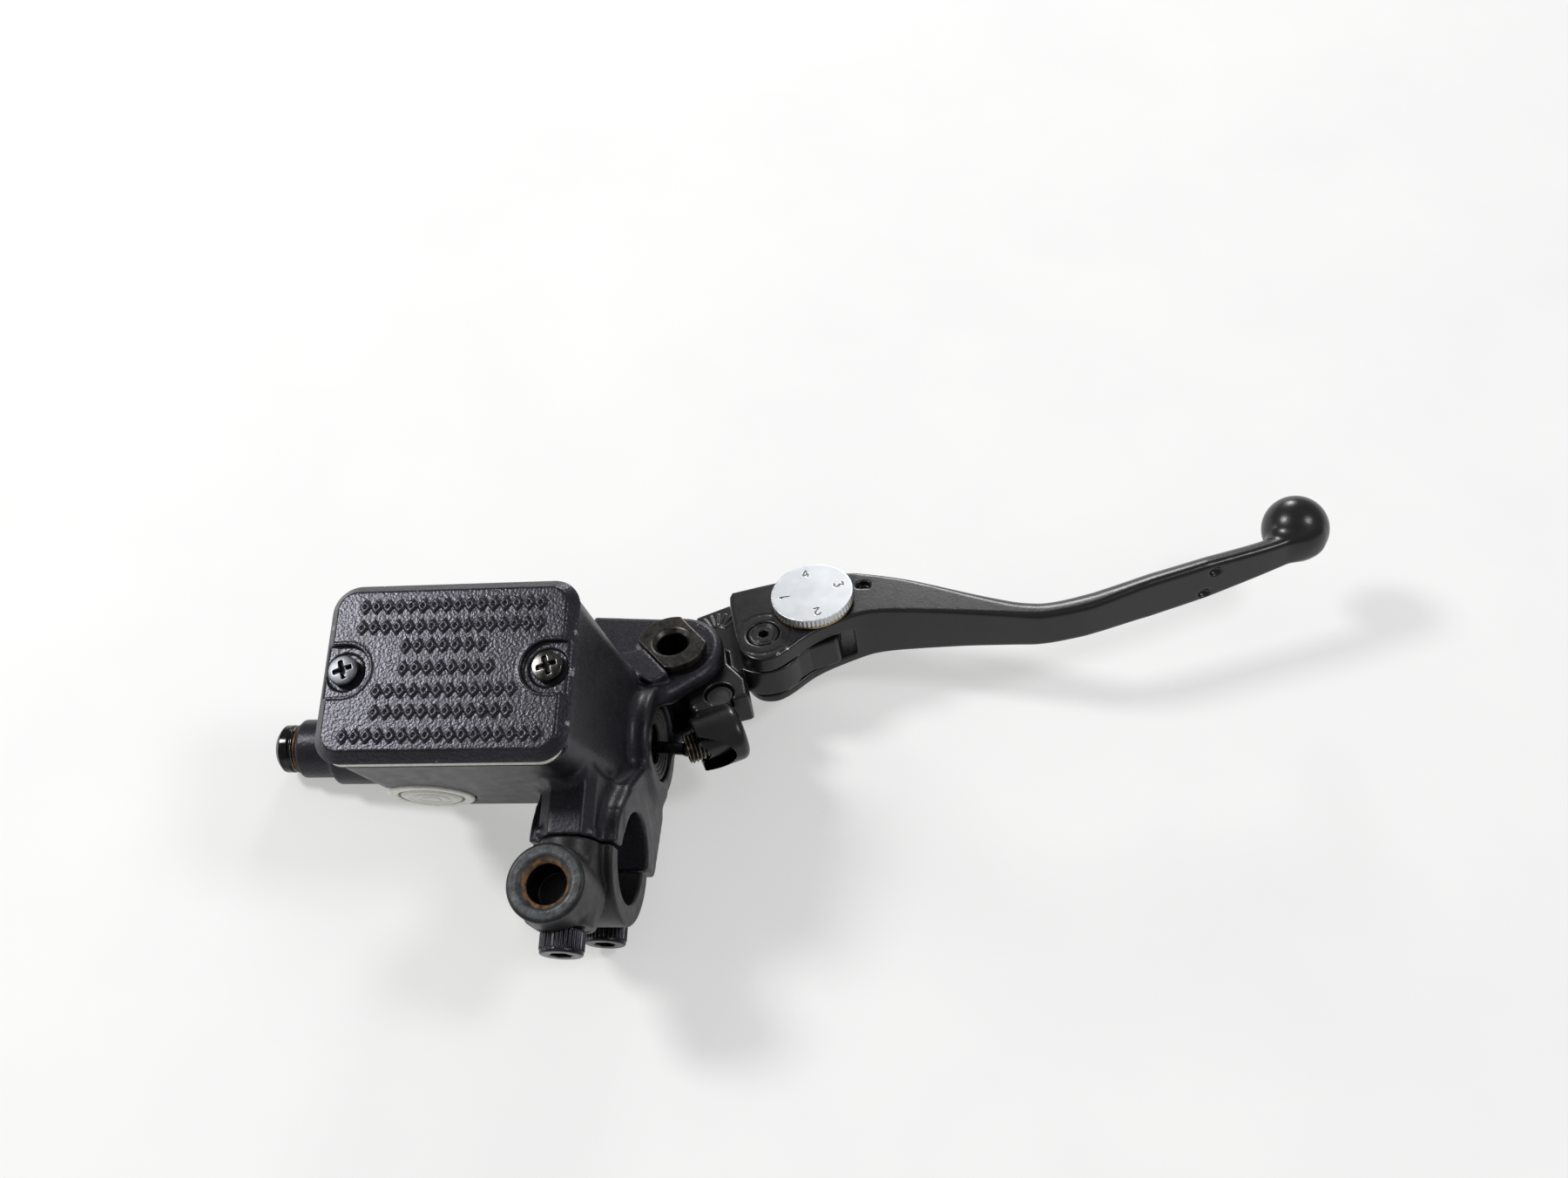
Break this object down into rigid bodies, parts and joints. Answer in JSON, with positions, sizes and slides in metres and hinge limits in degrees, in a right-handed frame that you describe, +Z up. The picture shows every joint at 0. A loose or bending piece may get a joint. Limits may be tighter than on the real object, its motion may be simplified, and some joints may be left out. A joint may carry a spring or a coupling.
{
  "type": "motorcycle brake master cylinder",
  "caption": "Handlebar brake master cylinder: square fluid reservoir with a screwed lid, bar clamp with a mirror boss, piston and pivoting ball-end lever with a reach adjuster wheel.",
  "frame": {"origin": "the handlebar's axis, at the middle of the clamp's width", "axes": "+X along the handlebar from the hose outlet to the lever's tip, +Y forward away from the rider, +Z up, square to the reservoir's lid"},
  "size_m": [0.2754, 0.1367, 0.0988],
  "materials": {
    "cast_black": "fine-grained black coating on die-cast alloy, worn at the edges",
    "lever_black": "satin black paint on forged alloy, rubbed at the edges",
    "black_steel": "black-oxidised steel, oily, bright on the wear lines",
    "bright_steel": "zinc-plated steel",
    "wheel_metal": "satin anodised aluminium with engraved position marks",
    "piston_metal": "turned and anodised aluminium",
    "brass": "turned bronze bush",
    "copper_seal": "tarnished copper crush washer",
    "rubber": "moulded black rubber",
    "pale_plate": "aged cream plastic plate",
    "sight_white": "aged ring round the window",
    "sight_window": "cloudy fluid window"
  },
  "bodies": {
    "master_cylinder": {"body_casting": "cast_black", "reservoir_cap": "cast_black", "diaphragm_plate": "pale_plate", "diaphragm": "rubber", "cap_screw_left": "bright_steel", "cap_screw_right": "black_steel", "sight_glass_ring": "sight_white", "sight_glass": "sight_window", "clamp_cap": "cast_black", "clamp_screw_upper": "black_steel", "clamp_screw_lower": "black_steel", "outlet_washer": "copper_seal", "outlet_union": "black_steel", "piston_washer": "bright_steel", "circlip": "bright_steel", "return_spring": "bright_steel", "dust_boot": "rubber", "pivot_pin": "black_steel", "pivot_nut": "bright_steel"},
    "carrier": {"lever_carrier": "lever_black", "pivot_bush": "brass", "lock_pin": "rubber", "adjuster_screw": "black_steel", "blade_bush": "brass"},
    "blade": {"lever_blade": "lever_black", "blade_pivot_screw": "black_steel", "detent_ball": "bright_steel", "detent_spring": "bright_steel"},
    "wheel": {"adjuster_wheel": "wheel_metal", "adjuster_cam": "bright_steel"},
    "piston": {"piston": "piston_metal", "primary_cup": "rubber", "secondary_cup": "rubber"},
    "pushrod": {"pushrod": "bright_steel"}
  },
  "joints": [
    {"name": "lever_pull", "type": "hinge", "parent": "master_cylinder", "child": "carrier", "pos_m": [0.0126, 0.05554, -0.02473], "axis": [0, -0.4067, -0.9135], "range_deg": [0, 16], "stiffness_Nm_per_rad": 1, "springref_deg": -11.46},
    {"name": "piston_slide", "type": "slide", "parent": "master_cylinder", "child": "piston", "axis": [-1, 0, 0], "range_m": [0, 0.0075], "deforming": ["return_spring"]},
    {"name": "pushrod_swing", "type": "hinge", "parent": "carrier", "child": "pushrod", "pos_m": [0.01856, 0.03175, -0.01414], "axis": [0, 0.4067, 0.9135], "range_deg": [0, 14]},
    {"name": "blade_adjust", "type": "hinge", "parent": "carrier", "child": "blade", "pos_m": [0.0353, 0.06176, -0.02749], "axis": [0, 0.4067, 0.9135], "range_deg": [-4.2, 2.2]},
    {"name": "wheel_turn", "type": "hinge", "parent": "blade", "child": "wheel", "pos_m": [0.0475, 0.07226, -0.03217], "axis": [0, -0.4067, -0.9135], "range_deg": [-180, 90]}
  ],
  "couplings": [
    {"joint": "piston_slide", "follows": "lever_pull", "m_per_rad": 0.0262},
    {"joint": "pushrod_swing", "follows": "lever_pull", "ratio": 0.87},
    {"joint": "blade_adjust", "follows": "wheel_turn", "ratio": 0.0219}
  ]
}
